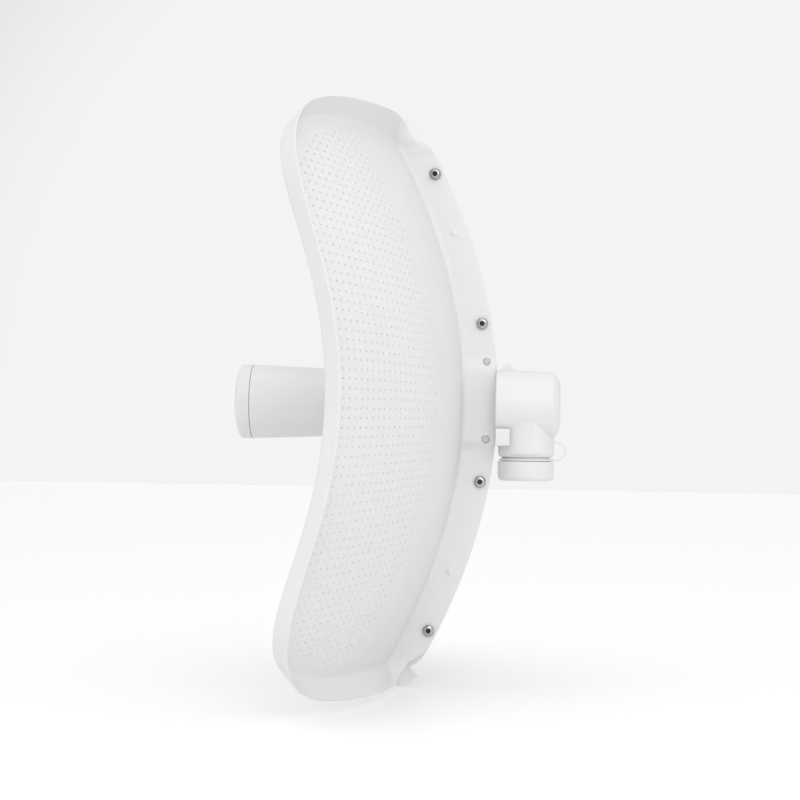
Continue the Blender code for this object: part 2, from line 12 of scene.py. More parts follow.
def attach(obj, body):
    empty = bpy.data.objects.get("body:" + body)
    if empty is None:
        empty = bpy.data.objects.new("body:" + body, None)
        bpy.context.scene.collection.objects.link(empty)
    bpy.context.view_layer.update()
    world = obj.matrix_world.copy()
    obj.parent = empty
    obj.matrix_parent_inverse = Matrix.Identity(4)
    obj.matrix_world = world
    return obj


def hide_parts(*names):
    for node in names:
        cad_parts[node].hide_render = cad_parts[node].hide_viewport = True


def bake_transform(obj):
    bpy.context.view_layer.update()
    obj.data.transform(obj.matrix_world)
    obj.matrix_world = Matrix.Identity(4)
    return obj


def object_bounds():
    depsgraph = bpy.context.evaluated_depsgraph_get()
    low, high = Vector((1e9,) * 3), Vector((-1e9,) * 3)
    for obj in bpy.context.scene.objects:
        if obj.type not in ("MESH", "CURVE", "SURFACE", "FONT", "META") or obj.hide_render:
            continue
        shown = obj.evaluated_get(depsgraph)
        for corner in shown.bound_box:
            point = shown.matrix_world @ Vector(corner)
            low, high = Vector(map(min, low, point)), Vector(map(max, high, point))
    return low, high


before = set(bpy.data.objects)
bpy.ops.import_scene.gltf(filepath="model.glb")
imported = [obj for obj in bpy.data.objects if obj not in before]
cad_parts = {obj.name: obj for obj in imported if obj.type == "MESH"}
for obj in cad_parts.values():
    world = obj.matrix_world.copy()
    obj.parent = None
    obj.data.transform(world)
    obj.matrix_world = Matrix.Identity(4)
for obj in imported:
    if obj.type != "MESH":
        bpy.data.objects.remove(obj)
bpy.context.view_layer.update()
scene = bpy.context.scene

# The same dimensions as the part's, from the reflector's vertex. HOLD is the frame's origin, on the flange
HOLD = Vector((0.00145, 0.0150, 0.0470))
FOCAL_X = 0.170          # the dish is a little deeper across than up and down
FOCAL_Z = 0.1886
TWIST = 4.5              # extra depth towards the corners
HALF_WIDTH = 0.240       # rim line, side
HALF_HEIGHT = 0.2074     # rim line, top
CORNER_POWER = 6.0       # superellipse power of the rim line
SPINE_CORNER = 0.0090    # rounding between the top edge and the spine
SHEET = 0.0012           # sheet thickness
BEND = 0.0055            # bend radius all round
LIP_FLAT = 0.0157        # flat part of the lip
LIP_ANGLE = 40.0         # direction of the lip, degrees from outward to straight back
FLANGE_MID = 0.00085     # middle of the flange sheet from the centre plane
FLANGE_EDGE = 0.0266     # outer edge of the flange behind the vertex
FLANGE_RISE = 0.0014
END_REACH = 0.085        # near the spine the lip flares out towards its end
# Round the spine corner: share of the way, share of the turn, direction of the strip, its length
END_RIGHT = ((0, 0, 20, 0.0170), (0.25, 0.25, 46, 0.0116), (0.5, 0.5, 85, 0.0100), (0.75, 0.75, 90, 0.0195))
END_RIGHT += ((1, 1, 90, 0.0225),)
END_LEFT = ((0, 0, 20, 0.0215), (0.25, 0, 40, 0.0220), (0.5, 0, 60, 0.0225), (0.58, 0.16, 72, 0.0120))
END_LEFT += ((0.75, 0.5, 88, 0.0190), (1, 1, 90, 0.0225))
POCKET_DEPTH = 0.0048    # pocket pressed into each flange for the tongue
POCKET_FLAT = 0.0275     # half height of the pocket floor
POCKET_RAMP = 0.0110
AXIS_Z = -0.0015
SCREW_Z = (0.185, 0.064, -0.064, -0.185)
SCREW_INSET = 0.0077
SCREW_HOLE = 0.0028
PIN_Z = (0.0330, -0.0292)
PIN_Y = 0.0191
PIN_HOLE = 0.0032
DIMPLE_Z = (0.137, -0.137)
DIMPLE_INSET = 0.0115
DIMPLE_R = 0.0035
DIMPLE_H = 0.0017

# Spine hardware
SCREW_R = 0.0025
HEAD_R = 0.00475
HEAD_H = 0.0032
SOCKET_R = 0.0023
PIN_R = 0.0029

# Feed tube
TUBE_FRONT = -0.1704
TUBE_BACK = -0.0060
TUBE_R_FRONT = 0.0300
TUBE_R_BACK = 0.0236
TUBE_WALL = 0.0022
CAP_TIP = -0.1850
CAP_EDGE = -0.1785
TONGUE_X = 0.0042
TONGUE_Z = 0.0240
TONGUE_WALL = 0.0016
TONGUE_BACK = 0.0342

# Rear housing
HOUSE_FRONT = 0.0270
HOUSE_BACK = 0.0789
HOUSE_R = 0.0284
HOUSE_R_BACK = 0.0272
HOUSE_WALL = 0.0022
ELBOW_Y = 0.0517
ELBOW_R = 0.0225
ELBOW_WIDER = 1.10       # across, seen from behind
ELBOW_END = -0.0434
NECK_R = 0.0192
NECK_END = -0.0570
PORT_BORE = 0.0170
EYE_Z = -0.0310          # where the tether strap is anchored behind the elbow

# Port cap
CAP_TOP = -0.0467
CAP_BOTTOM = -0.0625
CAP_R = 0.0227
CAP_WALL = 0.0020

# How finely the wings are divided
RIM_STEPS = 300
CORNER_STEPS = 12
SPINE_STEPS = 60
POCKET_STEPS = 12
BEND_STEPS = 10
FLAT_STEPS = 3

# The wings' triangulation
MESH_STEP = 0.0055       # between loose points of the dish
MESH_CLEAR = 0.0026      # from a hole's centre
MESH_EDGE = 0.002        # from the spine
MESH_RIM = 0.0025        # from the rim line
CELL = 0.01              # of the grid used to look up nearby holes

# Perforation
ROW_PITCH = 0.0070       # halfway up, at the outermost column
ROW_START = -0.0012
COLUMN_FIRST = 0.2265
COLUMN_PITCH = 0.0060    # between the outermost columns
COLUMN_GROWTH = 0.012
FAN = 0.86               # how fast the rows draw together towards the spine
HOLE_R = 0.00090
HOLE_SIDES = 10
HOLE_FROM = 0.103        # nearest to the spine, halfway up
HOLE_FROM_TOP = 0.130    # and at the top
INSET_X = 0.0115         # from the rim line
INSET_Z = 0.0062


# ---------------------------------------------------------------- reflector
def surface(x, z):
    return -(x * x / (4 * FOCAL_X) + z * z / (4 * FOCAL_Z) + TWIST * x * x * z * z)


def slopes(x, z):
    return -(x / (2 * FOCAL_X) + 2 * TWIST * x * z * z), -(z / (2 * FOCAL_Z) + 2 * TWIST * x * x * z)


def surface_normal(x, z):
    sx, sz = slopes(x, z)
    return Vector((-sx, 1, -sz)).normalized()


def pocket(z):
    """How far the flange stands off the centre plane at this height, for the tongue."""
    t = (abs(z - AXIS_Z) - POCKET_FLAT) / POCKET_RAMP
    t = min(max(t, 0.0), 1.0)
    return POCKET_DEPTH * (1 - t * t * (3 - 2 * t))


def flange_edge(z):
    return min(FLANGE_EDGE, FLANGE_EDGE + FLANGE_RISE - z * z / (4 * FOCAL_Z))


def wing_edge(ends):
    """Round the wing's edge: x, z, outward x, outward z, direction of the strip and its length."""
    inner = FLANGE_MID + BEND
    loop = []
    angles = np.linspace(-math.pi / 2, math.pi / 2, 6001)
    c, s = np.cos(angles), np.sin(angles)
    x = HALF_WIDTH * np.abs(c) ** (2 / CORNER_POWER)
    z = HALF_HEIGHT * np.sign(s) * np.abs(s) ** (2 / CORNER_POWER)
    keep = x >= inner + SPINE_CORNER
    x, z = x[keep], z[keep]
    nx = (x / HALF_WIDTH) ** (CORNER_POWER - 1) / HALF_WIDTH
    nz = np.sign(z) * (np.abs(z) / HALF_HEIGHT) ** (CORNER_POWER - 1) / HALF_HEIGHT
    facing = np.unwrap(np.arctan2(nz, nx))
    run = np.hypot(np.diff(x), np.diff(z)) + 0.09 * np.abs(np.diff(facing))
    along = np.concatenate([[0], np.cumsum(run)])
    where = np.linspace(0, along[-1], RIM_STEPS + 1)
    evenly = [np.interp(where, along, values) for values in (x, z, facing)]
    for px, pz, a in zip(*evenly):
        t = min(max(1 - (px - inner - SPINE_CORNER) / END_REACH, 0.0), 1.0)
        t = t * t * (3 - 2 * t)
        loop.append((px, pz, math.cos(a), math.sin(a), LIP_ANGLE + (ends[0][2] - LIP_ANGLE) * t,
                     LIP_FLAT + (ends[0][3] - LIP_FLAT) * t))
    shares, turns, leans, lengths = zip(*ends)

    def corner(sign):
        points = []
        centre = (inner + SPINE_CORNER, sign * (HALF_HEIGHT - SPINE_CORNER))
        for k in range(1, CORNER_STEPS):
            t = k / CORNER_STEPS
            place = math.pi / 2 * (1 + t)
            px = centre[0] + SPINE_CORNER * math.cos(place)
            pz = centre[1] + sign * SPINE_CORNER * math.sin(place)
            a = math.pi / 2 * (1 + np.interp(t, shares, turns))
            angle = float(np.interp(t, shares, leans))
            length = float(np.interp(t, shares, lengths))
            points.append((px, pz, math.cos(a), sign * math.sin(a), angle, length))
        return points

    loop.extend(corner(1))
    top = HALF_HEIGHT - SPINE_CORNER
    near = POCKET_FLAT + POCKET_RAMP
    heights = list(np.linspace(top, AXIS_Z + near, SPINE_STEPS + 1)[:-1])
    heights += list(np.linspace(AXIS_Z + near, AXIS_Z + POCKET_FLAT, POCKET_STEPS + 1)[:-1])
    heights += list(np.linspace(AXIS_Z + POCKET_FLAT, AXIS_Z - POCKET_FLAT, POCKET_STEPS + 1)[:-1])
    heights += list(np.linspace(AXIS_Z - POCKET_FLAT, AXIS_Z - near, POCKET_STEPS + 1)[:-1])
    heights += list(np.linspace(AXIS_Z - near, -top, SPINE_STEPS + 1))
    for z in heights:
        x = inner + pocket(z)
        length = flange_edge(z) - (surface(x, z) + BEND)
        loop.append((x, z, -1.0, 0.0, 90.0, length))
    loop.extend(reversed(corner(-1)))
    return loop


def strip_row(x, z, ox, oz, angle, length):
    """Points and normals from the wing's edge, round the bend and out to the free edge."""
    sx, sz = slopes(x, z)
    start = math.atan(sx * ox + sz * oz)
    end = math.radians(angle)
    if angle == 90.0:
        start = 0.0
    y = surface(x, z)
    own = surface_normal(x, z)
    plain = Vector((-math.sin(start) * ox, math.cos(start), -math.sin(start) * oz))
    points, normals = [], []
    for k in range(BEND_STEPS + 1):
        a = start + (end - start) * k / BEND_STEPS
        out = BEND * (math.sin(a) - math.sin(start))
        back = BEND * (math.cos(start) - math.cos(a))
        points.append((x + ox * out, y + back, z + oz * out))
        turn = Vector((-math.sin(a) * ox, math.cos(a), -math.sin(a) * oz))
        normals.append(turn + (own - plain) * (1 - k / BEND_STEPS))
    tip = points[-1]
    for k in range(1, FLAT_STEPS + 1):
        out = length * k / FLAT_STEPS * math.cos(end)
        back = length * k / FLAT_STEPS * math.sin(end)
        points.append((tip[0] + ox * out, tip[1] + back, tip[2] + oz * out))
        normals.append(normals[BEND_STEPS])
    return points, normals


class Skin:
    """The middle of the sheet: points with normals, and faces. Equal points are one."""

    def __init__(self):
        self.index = {}
        self.points = []
        self.normals = []
        self.faces = []

    def point(self, p, n):
        key = tuple(round(c * 1e6) for c in p)
        if key not in self.index:
            self.index[key] = len(self.points)
            self.points.append(Vector(p))
            self.normals.append(Vector(n).normalized())
        return self.index[key]

    def grid(self, rows, normals):
        for i in range(len(rows) - 1):
            for j in range(len(rows[0]) - 1):
                face = []
                for a, b in ((i, j), (i, j + 1), (i + 1, j + 1), (i + 1, j)):
                    face.append(self.point(rows[a][b], normals[a][b]))
                self.faces.append(face)

    def flat(self, outline, loose, holes, lift):
        """A region of the plane with holes, triangulated, and lifted to points and normals."""
        coords = list(outline)
        rings = [list(range(len(outline)))]
        for hole in holes:
            rings.append(list(range(len(coords), len(coords) + len(hole))))
            coords.extend(hole)
        coords.extend(loose)
        found = delaunay_2d_cdt([Vector(c) for c in coords], [], rings, 1, 1e-7)
        lifted = []
        for spot, came_from in zip(found[0], found[3]):
            lifted.append(self.point(*lift(*(coords[came_from[0]] if came_from else (spot.x, spot.y)))))
        for face, owner in zip(found[2], found[5]):
            if not any(k > 0 for k in owner):
                self.faces.append([lifted[k] for k in face])

    def shell(self, name, side):
        """Both faces of the sheet, and walls round every free edge. side -1 is the mirror image."""
        count = len(self.points)
        verts = []
        for half in (0.5, -0.5):
            for p, n in zip(self.points, self.normals):
                q = p + n * (SHEET * half)
                verts.append((q.x * side - HOLD.x, q.y - HOLD.y, q.z - HOLD.z))
        bm = bmesh.new()
        made = [bm.verts.new(v) for v in verts]
        uses = {}
        for face in self.faces:
            bm.faces.new([made[k] for k in face])
            bm.faces.new([made[k + count] for k in reversed(face)])
            for a, b in zip(face, face[1:] + face[:1]):
                uses.setdefault((min(a, b), max(a, b)), []).append((a, b))
        for sides in uses.values():
            if len(sides) == 1:
                a, b = sides[0]
                bm.faces.new([made[b], made[a], made[a + count], made[b + count]])
        bm.normal_update()
        bmesh.ops.recalc_face_normals(bm, faces=bm.faces)
        mesh = bpy.data.meshes.new(name)
        bm.to_mesh(mesh)
        bm.free()
        mesh.shade_smooth()
        mesh.set_sharp_from_angle(angle=math.radians(42))
        obj = bpy.data.objects.new(name, mesh)
        scene.collection.objects.link(obj)
        return obj


def ring(centre, radius, sides, turn=0.0):
    points = []
    for k in range(sides):
        a = 2 * math.pi * k / sides + turn
        points.append((centre[0] + radius * math.cos(a), centre[1] + radius * math.sin(a)))
    return points


def hole_centres():
    """Columns run up and down. The rows spread outwards, and draw together where the dish is steep."""
    levels = [ROW_START]
    for sign in (1, -1):
        z = ROW_START
        while abs(z) < HALF_HEIGHT + 0.02:
            z += sign * ROW_PITCH * math.cos(math.atan(slopes(COLUMN_FIRST, z)[1]))
            levels.append(z)
    centres = []
    x = COLUMN_FIRST
    while x > HOLE_FROM:
        gather = 1 - FAN * (COLUMN_FIRST - x)
        for level in levels:
            z = level * gather
            share = z / HALF_HEIGHT
            start = HOLE_FROM + (HOLE_FROM_TOP - HOLE_FROM) * share * share
            inside = (x / (HALF_WIDTH - INSET_X)) ** CORNER_POWER
            inside += (abs(z) / (HALF_HEIGHT - INSET_Z)) ** CORNER_POWER
            if inside < 1 and x > start:
                centres.append((x, z))
        x -= COLUMN_PITCH + COLUMN_GROWTH * (COLUMN_FIRST - x)
    return centres


def build_skin(push, ends):
    skin = Skin()
    loop = wing_edge(ends)
    rows, normals = [], []
    for spot in loop:
        row, facing = strip_row(*spot)
        rows.append(row)
        normals.append(facing)
    first = RIM_STEPS + CORNER_STEPS
    last = len(loop) - CORNER_STEPS
    skin.grid(rows[:first + 1], normals[:first + 1])
    bends = [row[:BEND_STEPS + 1] for row in rows[first:last + 1]]
    skin.grid(bends, [facing[:BEND_STEPS + 1] for facing in normals[first:last + 1]])
    skin.grid(rows[last:] + rows[:1], normals[last:] + normals[:1])

    outline = [(float(spot[0]), float(spot[1])) for spot in loop]
    centres = hole_centres()
    holes = [ring(c, HOLE_R, HOLE_SIDES) for c in centres]
    loose = []
    taken = {}
    for x, z in centres:
        taken.setdefault((int(x / CELL), int(z // CELL)), []).append((x, z))
    for i in range(1, int(HALF_WIDTH / MESH_STEP) + 1):
        for j in range(-int(HALF_HEIGHT / MESH_STEP) - 1, int(HALF_HEIGHT / MESH_STEP) + 2):
            x = FLANGE_MID + BEND + MESH_EDGE + (i - 0.5) * MESH_STEP
            z = (j + 0.5 * (i % 2)) * MESH_STEP
            limit = (x / (HALF_WIDTH - MESH_RIM)) ** CORNER_POWER
            limit += (abs(z) / (HALF_HEIGHT - MESH_RIM)) ** CORNER_POWER
            if limit >= 1 or x < FLANGE_MID + BEND + pocket(z) + MESH_EDGE:
                continue
            near = []
            for a in (-1, 0, 1):
                for b in (-1, 0, 1):
                    near += taken.get((int(x / CELL) + a, int(z // CELL) + b), [])
            if all(math.hypot(x - u, z - v) > MESH_CLEAR for u, v in near):
                loose.append((x, z))
    skin.flat(outline, loose, holes, lambda x, z: ((x, surface(x, z), z), surface_normal(x, z)))

    def lift_flange(y, z):
        tilt = (pocket(z + 1e-4) - pocket(z - 1e-4)) / 2e-4
        x = FLANGE_MID + pocket(z)
        for mark in DIMPLE_Z:
            away = math.hypot(y - (flange_edge(mark) - DIMPLE_INSET), z - mark)
            x += push * DIMPLE_H * max(0.0, 1 - (away / DIMPLE_R) ** 2)
        return (x, y, z), (1, 0, -tilt)

    flange_rows = rows[first:last + 1]
    base = [(float(row[BEND_STEPS][1]), float(row[BEND_STEPS][2])) for row in flange_rows]
    edge = [(float(row[-1][1]), float(row[-1][2])) for row in flange_rows]
    low = [(float(p[1]), float(p[2])) for p in flange_rows[-1][BEND_STEPS + 1:-1]]
    top = [(float(p[1]), float(p[2])) for p in flange_rows[0][BEND_STEPS + 1:-1]]
    outline = base + low + edge[::-1] + top[::-1]
    holes, loose = [], []
    for z in SCREW_Z:
        holes.append(ring((flange_edge(z) - SCREW_INSET, z), SCREW_HOLE, 24))
    for z in PIN_Z:
        holes.append(ring((PIN_Y, z), PIN_HOLE, 28))
    for z in DIMPLE_Z:
        spot = (flange_edge(z) - DIMPLE_INSET, z)
        for size in (DIMPLE_R + 0.0003, DIMPLE_R, DIMPLE_R * 0.75, DIMPLE_R * 0.5, DIMPLE_R * 0.25):
            loose.extend(ring(spot, size, 24))
        loose.append(spot)
    marks = list(loose)
    for (y0, z0), (y1, _) in list(zip(base, edge))[1:-1]:
        for k in (0.2, 0.4, 0.6, 0.8):
            y = y0 + (y1 - y0) * k
            clear = all(math.hypot(y - h[0][0], z0 - h[0][1]) > 0.0085 for h in holes)
            clear = clear and all(math.hypot(y - a, z0 - b) > 0.0015 for a, b in marks)
            if clear:
                loose.append((y, z0))
    skin.flat(outline, loose, holes, lift_flange)
    return skin


# ---------------------------------------------------------------- materials
def node_material(name):
    mat = bpy.data.materials.new(name)
    mat.use_nodes = True
    tree = mat.node_tree
    return mat, tree, tree.nodes["Principled BSDF"]


def noise(tree, scale, detail=4.0, rough=0.5):
    coords = tree.nodes.new("ShaderNodeTexCoord")
    tex = tree.nodes.new("ShaderNodeTexNoise")
    tex.inputs["Scale"].default_value = scale
    tex.inputs["Detail"].default_value = detail
    tex.inputs["Roughness"].default_value = rough
    tree.links.new(coords.outputs["Object"], tex.inputs["Vector"])
    return tex


def spread(tree, value, low, high):
    node = tree.nodes.new("ShaderNodeMapRange")
    node.inputs["From Min"].default_value = 0.3
    node.inputs["From Max"].default_value = 0.7
    node.inputs["To Min"].default_value = low
    node.inputs["To Max"].default_value = high
    tree.links.new(value, node.inputs["Value"])
    return node.outputs["Result"]


def tint(tree, value, first, second):
    ramp = tree.nodes.new("ShaderNodeValToRGB")
    ramp.color_ramp.elements[0].position = 0.3
    ramp.color_ramp.elements[1].position = 0.7
    ramp.color_ramp.elements[0].color = (*first, 1)
    ramp.color_ramp.elements[1].color = (*second, 1)
    tree.links.new(value, ramp.inputs["Fac"])
    return ramp.outputs["Color"]


def bumped(tree, shader, height, strength, distance):
    bump = tree.nodes.new("ShaderNodeBump")
    bump.inputs["Strength"].default_value = strength
    bump.inputs["Distance"].default_value = distance
    tree.links.new(height, bump.inputs["Height"])
    tree.links.new(bump.outputs["Normal"], shader.inputs["Normal"])


def coated(name, first, second, rough, grain, strength, metallic=0.0, spec=0.5, coat=0.0):
    """A surface with a slow change of tone, a finer change of gloss, and a fine grain."""
    mat, tree, shader = node_material(name)
    slow = noise(tree, 9.0, 2.0)
    fine = noise(tree, 160.0, 3.0)
    skin = noise(tree, grain, 2.0)
    tree.links.new(tint(tree, slow.outputs["Fac"], first, second), shader.inputs["Base Color"])
    tree.links.new(spread(tree, fine.outputs["Fac"], rough - 0.05, rough + 0.05), shader.inputs["Roughness"])
    bumped(tree, shader, skin.outputs["Fac"], strength, 0.0001)
    shader.inputs["Metallic"].default_value = metallic
    shader.inputs["Specular IOR Level"].default_value = spec
    shader.inputs["Coat Weight"].default_value = coat
    return mat


LOOKS = {
    "powder": coated(
        "powder_coat", (0.705, 0.705, 0.702), (0.725, 0.725, 0.722), 0.55, 900.0, 0.25, spec=0.2,
    ),
    "plastic": coated("moulded_white", (0.695, 0.695, 0.690), (0.715, 0.715, 0.710), 0.40, 1500.0, 0.10),
    "cap": coated("cap_white", (0.685, 0.685, 0.678), (0.705, 0.705, 0.698), 0.40, 1500.0, 0.12),
    "steel": coated("screw_steel", (0.36, 0.36, 0.365), (0.50, 0.50, 0.505), 0.18, 700.0, 0.15, 1.0),
    "grey": coated("pin_grey", (0.50, 0.50, 0.50), (0.56, 0.56, 0.56), 0.55, 1200.0, 0.2),
    "rubber": coated("seal_rubber", (0.10, 0.10, 0.105), (0.14, 0.14, 0.145), 0.75, 1500.0, 0.3, 0.0, 0.3),
    "board": coated("board_resist", (0.02, 0.14, 0.06), (0.03, 0.18, 0.08), 0.35, 1800.0, 0.2),
    "tin": coated("tinned_sheet", (0.62, 0.62, 0.61), (0.72, 0.72, 0.71), 0.30, 500.0, 0.1, 1.0),
    # painted shade: near-black for the faces inside the screw sockets, standing in for the shade that falls
    # in the recess
    "socket_painted_shade": coated("screw_socket_painted_shade", (0.03, 0.03, 0.03), (0.07, 0.07, 0.07), 0.45, 900.0, 0.2, 1.0),
    "dark": coated("dark_plastic", (0.015, 0.015, 0.015), (0.03, 0.03, 0.03), 0.5, 1200.0, 0.2),
}

WEARS = {
    "wing_": "powder", "spine_screw": "steel", "spine_nut": "steel", "locating_pin": "grey",
    "feed_tube": "plastic", "feed_front_cap": "plastic", "front_cap_seal": "rubber", "sub_reflector": "tin",
    "feed_radiator": "tin", "radio_board": "board", "shield_can": "tin", "board_screw": "steel",
    "rear_housing": "plastic", "tongue_seal": "rubber", "ethernet_jack": "tin", "port_plate": "grey",
    "reset_button": "dark", "port_cap": "cap", "port_gasket": "rubber", "tether_": "plastic",
}


def wear(obj, look):
    if not obj.material_slots:
        obj.data.materials.append(look)
    for slot in obj.material_slots:
        slot.material = look


for name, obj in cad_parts.items():
    for start, look in WEARS.items():
        if name.startswith(start):
            wear(obj, LOOKS[look])

for name, side, ends in (("wing_right", 1, END_RIGHT), ("wing_left", -1, END_LEFT)):
    obj = build_skin(side, ends).shell(f"{name}_perforated", side)
    wear(obj, LOOKS["powder"])
    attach(obj, "antenna")
    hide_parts(name)


# ---------------------------------------------------------------- moulded parts and screws
def finish(name, bm, look):
    bmesh.ops.remove_doubles(bm, verts=bm.verts, dist=1e-6)
    bmesh.ops.recalc_face_normals(bm, faces=bm.faces)
    mesh = bpy.data.meshes.new(name)
    bm.to_mesh(mesh)
    bm.free()
    obj = bpy.data.objects.new(name, mesh)
    scene.collection.objects.link(obj)
    obj.data.materials.append(look)
    return obj


def lathe(name, profile, axis, look, segments=40, centre=(0, 0, 0)):
    """A closed profile of (radius, along) points turned about the X, Y or Z axis through centre."""
    bm = bmesh.new()
    rings = []
    for radius, along in profile:
        circle = []
        for k in range(segments):
            a = 2 * math.pi * k / segments
            u, v = radius * math.cos(a), radius * math.sin(a)
            spot = (u, along, v) if axis == "Y" else (u, v, along)
            if axis == "X":
                spot = (along, u, v)
            circle.append(bm.verts.new([c + s for c, s in zip(centre, spot)]))
            if radius == 0:
                break
        rings.append(circle)
    for first, second in zip(rings, rings[1:] + rings[:1]):
        if len(first) == 1 and len(second) == 1:
            continue
        for k in range(segments):
            n = (k + 1) % segments
            if len(first) == 1:
                bm.faces.new((first[0], second[k], second[n]))
            elif len(second) == 1:
                bm.faces.new((first[k], second[0], first[n]))
            else:
                bm.faces.new((first[k], second[k], second[n], first[n]))
    return finish(name, bm, look)


def block(name, low, high, look):
    bm = bmesh.new()
    bmesh.ops.create_cube(bm, size=1)
    for v in bm.verts:
        v.co = [lo + (c + 0.5) * (hi - lo) for c, lo, hi in zip(v.co, low, high)]
    return finish(name, bm, look)


def prism(name, outline, low, high, axis, look):
    """An outline of (u, v) points drawn out along X (u, v are y, z) or Y (u, v are x, z)."""
    bm = bmesh.new()
    ends = []
    for along in (low, high):
        if axis == "X":
            ends.append([bm.verts.new((along, u, v)) for u, v in outline])
        else:
            ends.append([bm.verts.new((u, along, v)) for u, v in outline])
    bm.faces.new(ends[0])
    bm.faces.new(ends[1])
    count = len(outline)
    for k in range(count):
        n = (k + 1) % count
        bm.faces.new((ends[0][k], ends[0][n], ends[1][n], ends[1][k]))
    return finish(name, bm, look)


def rounded(half_u, half_v, radius, steps=5, centre=(0, 0)):
    points = []
    corners = ((1, 1, 0), (-1, 1, 90), (-1, -1, 180), (1, -1, 270))
    for su, sv, start in corners:
        for k in range(steps + 1):
            a = math.radians(start + 90 * k / steps)
            u = su * (half_u - radius) + radius * math.cos(a)
            v = sv * (half_v - radius) + radius * math.sin(a)
            points.append((centre[0] + u, centre[1] + v))
    return points


def eased(profile, radius):
    """The profile with its corners rounded, except on the axis."""
    made = []
    count = len(profile)
    for k in range(count):
        p = Vector(profile[k])
        before, after = Vector(profile[k - 1]) - p, Vector(profile[(k + 1) % count]) - p
        reach = min(radius, before.length * 0.4, after.length * 0.4)
        if p[0] == 0 or before.angle(after) > math.radians(174):
            made.append(tuple(p))
            continue
        first, last = p + before.normalized() * reach, p + after.normalized() * reach
        for t in (0.0, 0.25, 0.5, 0.75, 1.0):
            made.append(tuple(first * (1 - t) ** 2 + p * (2 * t * (1 - t)) + last * t ** 2))
    return made


def combine(target, tool, operation):
    """The Boolean worked out at once, and the tool removed."""
    step = target.modifiers.new("step", "BOOLEAN")
    step.operation = operation
    step.solver = "EXACT"
    step.object = tool
    depsgraph = bpy.context.evaluated_depsgraph_get()
    mesh = bpy.data.meshes.new_from_object(target.evaluated_get(depsgraph))
    target.modifiers.clear()
    old = target.data
    target.data = mesh
    bpy.data.meshes.remove(old)
    bpy.data.objects.remove(tool, do_unlink=True)
    if not target.data.materials:
        target.data.materials.append(PLASTIC)


def cut(target, tool):
    combine(target, tool, "DIFFERENCE")


def join(target, tool):
    combine(target, tool, "UNION")


def screw_parts():
    made = []
    outer = FLANGE_MID + SHEET / 2 + 0.0003
    for number, z in enumerate(SCREW_Z, 1):
        centre = (0, flange_edge(z) - SCREW_INSET, z)
        profile = [(0, -0.0085), (SCREW_R - 0.0003, -0.0085), (SCREW_R, -0.0082), (SCREW_R, outer)]
        profile += [(HEAD_R, outer), (HEAD_R, outer + HEAD_H * 0.55), (HEAD_R * 0.86, outer + HEAD_H * 0.86)]
        profile += [(HEAD_R * 0.6, outer + HEAD_H), (0, outer + HEAD_H)]
        screw = lathe(f"screw_fine_{number}", eased(profile, 0.0005), "X", LOOKS["steel"], 64, centre)
        turns = np.linspace(0, 2 * math.pi, 7)[:-1]
        socket = [(SOCKET_R * math.cos(a), SOCKET_R * math.sin(a)) for a in turns]
        socket = [(centre[1] + u, centre[2] + v) for u, v in socket]
        deep, proud = outer + HEAD_H - 0.0022, outer + HEAD_H + 0.001
        cut(screw, prism("cutter", socket, deep, proud, "X", LOOKS["steel"]))
        # the faces inside the hex socket take the near-black painted shade, for the shade that falls in the
        # recess
        screw.data.materials.append(LOOKS["socket_painted_shade"])
        for face in screw.data.polygons:
            away = math.hypot(face.center[1] - centre[1], face.center[2] - centre[2])
            if outer < face.center[0] < outer + HEAD_H - 0.00001 and away < SOCKET_R + 0.0001:
                face.material_index = 1
        made.append((screw, f"spine_screw_{number}", "antenna"))
    for label, z in zip(("upper", "lower"), PIN_Z):
        reach = FLANGE_MID + pocket(z) + SHEET / 2 - 0.0004
        profile = eased([(0, -reach), (PIN_R, -reach), (PIN_R, reach), (0, reach)], 0.0005)
        pin = lathe(f"pin_fine_{label}", profile, "X", LOOKS["grey"], 64, (0, PIN_Y, z))
        made.append((pin, f"locating_pin_{label}", "antenna"))
    return made


def tube_radius(y):
    return TUBE_R_FRONT + (TUBE_R_BACK - TUBE_R_FRONT) * (y - TUBE_FRONT) / (TUBE_BACK - TUBE_FRONT)


def feed_parts():
    centre = (0, 0, AXIS_Z)
    wall = TUBE_WALL
    lip = TUBE_FRONT - 0.0050
    profile = [
        (tube_radius(lip) - wall - 0.0003, lip),
        (tube_radius(lip) - wall - 0.0003, TUBE_FRONT),
        (tube_radius(TUBE_FRONT), TUBE_FRONT),
        (TUBE_R_BACK, TUBE_BACK - 0.0015),
        (TUBE_R_BACK - 0.0015, TUBE_BACK),
        (0, TUBE_BACK),
        (0, TUBE_BACK - wall),
        (TUBE_R_BACK - wall, TUBE_BACK - wall),
        (tube_radius(lip) - 2 * wall, lip),
    ]
    tube = lathe("feed_tube_fine", eased(profile, 0.0006), "Y", LOOKS["plastic"], 128, centre)
    outline = rounded(TONGUE_X, TONGUE_Z, 0.0030, 4, (0, AXIS_Z))
    join(tube, prism("cutter", outline, TUBE_BACK - 0.001, TONGUE_BACK, "Y", LOOKS["plastic"]))
    inner = rounded(TONGUE_X - TONGUE_WALL, TONGUE_Z - TONGUE_WALL, 0.0015, 3, (0, AXIS_Z))
    cut(tube, prism("cutter", inner, TUBE_BACK - 0.01, TONGUE_BACK + 0.01, "Y", LOOKS["plastic"]))

    rim = TUBE_R_FRONT
    step = tube_radius(lip) - wall
    outside = [(rim, TUBE_FRONT - 0.0003), (rim, CAP_EDGE)]
    dome = []
    for k in range(1, 14):
        a = math.pi / 2 * k / 14
        dome.append((rim * math.cos(a), CAP_EDGE + (CAP_TIP - CAP_EDGE) * math.sin(a)))
    inside = [(0, CAP_TIP + 0.0020), (rim * 0.6, CAP_TIP + 0.0034), (step, CAP_EDGE)]
    inside += [(step, TUBE_FRONT - 0.0003)]
    shape = outside + dome + [(0, CAP_TIP)] + inside
    cap = lathe("front_cap_fine", shape, "Y", LOOKS["plastic"], 128, centre)
    return [(tube, "feed_tube", "antenna"), (cap, "feed_front_cap", "antenna")]


